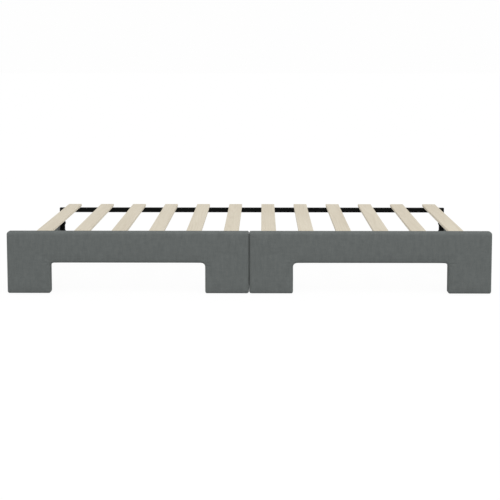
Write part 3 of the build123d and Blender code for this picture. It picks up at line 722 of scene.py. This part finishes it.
def hemmed_sheet(name, outline, t_in, pins, to_world, seed):
    """Thin closed sheet over an Outline: a turned hem, dimples at the pins and slack between them."""
    P, D, out, loop = outline.P, outline.D, outline.out, outline.loop
    nf = len(P)
    pins = np.array(pins)
    dist = np.full(len(P), 1e9)
    for q in pins:
        dist = np.minimum(dist, np.hypot(*(P - q).T))
    press = np.exp(-(dist / 0.0085) ** 2)
    slack = np.array([noise2(a, b, 21.0, 5.1, seed) for a, b in P])
    creases = np.array([noise2(a, b, 70.0, 8.3, seed) for a, b in P])
    hem = np.clip((0.0155 - D) / 0.0022, 0, 1)
    hem = hem * hem * (3 - 2 * hem)
    near_edge = np.exp(-D / 0.030)
    rise = 0.00035 * slack * (0.35 + near_edge) + 0.00022 * creases * near_edge
    thick = 0.0007 + 0.0007 * hem * (1 - 0.45 * press) + 0.00018 * (1 - press) * near_edge
    t_low = t_in + np.maximum(rise, -0.0001) * (1 - press) * 0.5
    t_up = t_in + thick + np.clip(rise, -0.0003, 0.0005) * (1 - 0.8 * press)
    top = np.minimum(t_up, t_in + 0.0018)
    low = np.minimum(t_low, top - 0.00045)
    verts = [to_world(P[k, 0], P[k, 1], top[k]) for k in range(nf)]
    verts += [to_world(P[k, 0], P[k, 1], low[k]) for k in range(nf)]
    mid = []
    for k, vi in enumerate(loop):
        pt = P[vi] + out[vi] * (0.0005 + 0.0003 * noise.noise(Vector((outline.run[k] * 60.0, seed, 1.1))))
        mid.append(len(verts))
        verts.append(to_world(pt[0], pt[1], (top[vi] + low[vi]) / 2))
    faces = []
    for i, j in outline.cells:
        u = outline.used
        f = [u[(i, j)], u[(i + 1, j)], u[(i + 1, j + 1)], u[(i, j + 1)]]
        faces.append(f)
        faces.append([x + nf for x in reversed(f)])
    n = len(loop)
    stack = [loop, mid, [v + nf for v in loop]]
    for r0, r1 in zip(stack[:-1], stack[1:]):
        for k in range(n):
            k2 = (k + 1) % n
            faces.append([r0[k2], r0[k], r1[k], r1[k2]])
    me = bpy.data.meshes.new(name)
    me.from_pydata(verts, [], faces)
    me.validate()
    bm = bmesh.new()
    bm.from_mesh(me)
    bmesh.ops.recalc_face_normals(bm, faces=bm.faces)
    bm.to_mesh(me)
    bm.free()
    me.polygons.foreach_set("use_smooth", [True] * len(me.polygons))
    me.update()
    ob = bpy.data.objects.new(name, me)
    bpy.context.scene.collection.objects.link(ob)
    me.materials.append(M["dust_cover"])
    return ob


for side, s in (("left", -1), ("right", 1)):
    lo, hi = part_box(f"front_backing_{side}")
    far, near_x = (hi.x, lo.x) if s > 0 else (-lo.x, -hi.x)
    # the same description as the front panel's: a runs from the seam to the outer end
    a0, a1, b0, b1 = near_x, far, lo.z, hi.z
    ai, ao, bc = LEG_IN - 0.010, far + 0.010 - LEG_OUT + 0.010, lo.z + CUT
    i0 = 0.008
    path = [(a0 + i0, b0 + i0), (ai - i0, b0 + i0), (ai - i0, bc + i0), (ao + i0, bc + i0),
            (ao + i0, b0 + i0), (a1 - i0, b0 + i0), (a1 - i0, b1 - i0), (a0 + i0, b1 - i0),
            (a0 + i0, b0 + i0)]
    places, k = [], 0
    for (ax, az), (bx, bz) in zip(path[:-1], path[1:]):
        ln = math.hypot(bx - ax, bz - az)
        n = max(2, int(ln / 0.046))
        for i in range(n):
            f = (i + 0.5) / n
            k += 1
            px = ax + (bx - ax) * f + 0.0012 * wobble(k, 1 + s)
            pz = az + (bz - az) * f + 0.0012 * wobble(k, 2 + s)
            tilt = 0.35 * wobble(k, 3 + s)
            dx, dz = (bx - ax) / ln, (bz - az) / ln
            places.append((px, pz, dx * math.cos(tilt) - dz * math.sin(tilt),
                           dz * math.cos(tilt) + dx * math.sin(tilt)))

    def backed(a, b, ai=ai, ao=ao, bc=bc):
        return not (ai < a < ao and b < bc)

    rc = 0.0035
    corners = [(a, b, "convex", sa, sb, rc, rc) for a, b, sa, sb in
               ((a0, b0, 1, 1), (ai, b0, -1, 1), (ao, b0, 1, 1), (a1, b0, -1, 1),
                (a1, b1, -1, -1), (a0, b1, 1, -1))]

    def uneven(P, s=s):
        P = P.copy()
        P[:, 0] += [0.0007 * noise2(b, 0.4, 17.0, 2.0 + s) for _, b in P]
        P[:, 1] += [0.0007 * noise2(a, 0.9, 17.0, 6.0 + s) for a, _ in P]
        return P

    shape = Outline([a0, ai, ao, a1], [b0, bc, b1], backed, corners,
                    [0.0, 0.0012, 0.0040, 0.0080, 0.0120, 0.0140, 0.0155, 0.0200, 0.0270], 0.0085, uneven)
    ob = hemmed_sheet(f"dust_cover_{side}", shape, 0.00005, [(q[0], q[1]) for q in places],
                      lambda a, b, t, y=lo.y, s=s: (s * a, y + t, b), 5.0 + 3.0 * s)
    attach(ob, BODY)
    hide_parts(f"front_backing_{side}")
    staples(f"backing_staples_{side}",
            [((s * px, hi.y - 0.00055, pz), (s * dx, 0, dz)) for px, pz, dx, dz in places], (0, 1, 0))

# the turned strip along the inside of each side board is stapled, clear of bracket and post
for side, s in (("left", -1), ("right", 1)):
    lo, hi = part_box(f"side_cover_{side}")
    y0, y1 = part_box(f"corner_bracket_{side}")[1].y + 0.022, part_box(f"rear_post_{side}")[0].y - 0.014
    n = int((y1 - y0) / 0.046)
    x = hi.x if s < 0 else lo.x
    places = []
    for k in range(n + 1):
        tilt = 0.30 * wobble(k, 5 + s)
        places.append(((x + s * 0.0001, y0 + (y1 - y0) * k / n + 0.0015 * wobble(k, 6 + s),
                        lo.z + 0.0125 + 0.0010 * wobble(k, 7 + s)), (0, math.cos(tilt), math.sin(tilt))))
    staples(f"side_staples_{side}", places, (-s, 0, 0))

# ------------------------------------------------------------ stage, light
def emission(name, colour, strength):
    mat = bpy.data.materials.new(name)
    mat.use_nodes = True
    nt = mat.node_tree
    nt.nodes.clear()
    out = nt.nodes.new("ShaderNodeOutputMaterial")
    e = nt.nodes.new("ShaderNodeEmission")
    e.inputs["Color"].default_value = colour
    e.inputs["Strength"].default_value = strength
    nt.links.new(e.outputs[0], out.inputs["Surface"])
    return mat


def pale_floor(name):
    """Nearly white, and a little darker only where the frame keeps the light off it."""
    mat = bpy.data.materials.new(name)
    mat.use_nodes = True
    nt = mat.node_tree
    nt.nodes.clear()
    out = nt.nodes.new("ShaderNodeOutputMaterial")
    e = nt.nodes.new("ShaderNodeEmission")
    e.inputs["Color"].default_value = (1, 1, 1, 1)
    e.inputs["Strength"].default_value = 0.945
    d = nt.nodes.new("ShaderNodeBsdfDiffuse")
    tc = nt.nodes.new("ShaderNodeTexCoord")
    mottle = noise_node(nt, mapped(nt, tc.outputs["Object"], (3, 3, 3)), 1.0, 3.0)
    link(nt, ramp(nt, mottle, [(0.3, (0.057, 0.057, 0.057, 1)), (0.7, (0.061, 0.061, 0.061, 1))]),
         d.inputs["Color"])
    both = nt.nodes.new("ShaderNodeAddShader")
    link(nt, e.outputs[0], both.inputs[0])
    link(nt, d.outputs[0], both.inputs[1])
    link(nt, both.outputs[0], out.inputs["Surface"])
    return mat


bpy.ops.mesh.primitive_plane_add(size=60, location=(0, 0, -0.0005))
floor = bpy.context.object
floor.name = "floor"
floor.data.materials.append(pale_floor("floor_pale"))
bpy.ops.mesh.primitive_uv_sphere_add(segments=48, ring_count=24, radius=40)
dome = bpy.context.object
dome.name = "backdrop"
dome.data.materials.append(emission("backdrop_white", (1, 1, 1, 1), 0.992))
for o in (floor, dome):
    o.visible_diffuse = False
    o.visible_glossy = False
    o.visible_transmission = False
    o.visible_volume_scatter = False
    o.visible_shadow = False

world = bpy.data.worlds.new("studio")
bpy.context.scene.world = world
world.use_nodes = True
nt = world.node_tree
nt.nodes.clear()
wout = nt.nodes.new("ShaderNodeOutputWorld")
bg = nt.nodes.new("ShaderNodeBackground")
tc = nt.nodes.new("ShaderNodeTexCoord")
sp = nt.nodes.new("ShaderNodeSeparateXYZ")
link(nt, tc.outputs["Generated"], sp.inputs[0])
up = math_node(nt, "MULTIPLY", math_node(nt, "MAXIMUM", sp.outputs["Z"], 0.0), 0.20)
below = math_node(nt, "MULTIPLY", math_node(nt, "MINIMUM", sp.outputs["Z"], 0.0), 0.50)
ahead = math_node(nt, "MULTIPLY", math_node(nt, "MINIMUM", sp.outputs["Y"], 0.0), -0.33)
beside = math_node(nt, "MULTIPLY", math_node(nt, "ABSOLUTE", sp.outputs["X"]), 0.3645)
lean = math_node(nt, "MULTIPLY", sp.outputs["X"], 0.065)
total = math_node(nt, "ADD", up, below)
for part in (ahead, beside, lean):
    total = math_node(nt, "ADD", total, part)
total = math_node(nt, "ADD", total, 0.584)
link(nt, total, bg.inputs["Strength"])
bg.inputs["Color"].default_value = (1, 1, 1, 1)
link(nt, bg.outputs[0], wout.inputs["Surface"])


def area(name, loc, aim, size, power):
    ld = bpy.data.lights.new(name, "AREA")
    ld.shape = "RECTANGLE"
    ld.size, ld.size_y = size
    ld.energy = power
    ob = bpy.data.objects.new(name, ld)
    bpy.context.scene.collection.objects.link(ob)
    ob.location = loc
    ob.rotation_mode = "QUATERNION"
    ob.rotation_quaternion = (Vector(aim) - Vector(loc)).to_track_quat("-Z", "Y")
    return ob


area("softbox_key", (1.1, -2.4, 4.2), (0, -0.2, 0.15), (3.0, 2.2), 63.9)

# ------------------------------------------------------------------ camera
cam_data = bpy.data.cameras.new("camera")
cam = bpy.data.objects.new("camera", cam_data)
bpy.context.scene.collection.objects.link(cam)
bpy.context.scene.camera = cam
cam_data.sensor_width = 36.0
cam_data.lens = 66.7438
cam_data.shift_x = -0.01536
cam_data.shift_y = -0.27
cam_data.clip_end = 200
cam.location = (0.05733, -4.24047, 1.02884)
cam.rotation_mode = "XYZ"
cam.rotation_euler = (math.radians(90 - 4.293), 0.0, math.radians(0.329))

scene = bpy.context.scene
scene.view_settings.view_transform = "Standard"
scene.view_settings.look = "None"
scene.view_settings.exposure = 0.0
scene.view_settings.gamma = 1.0
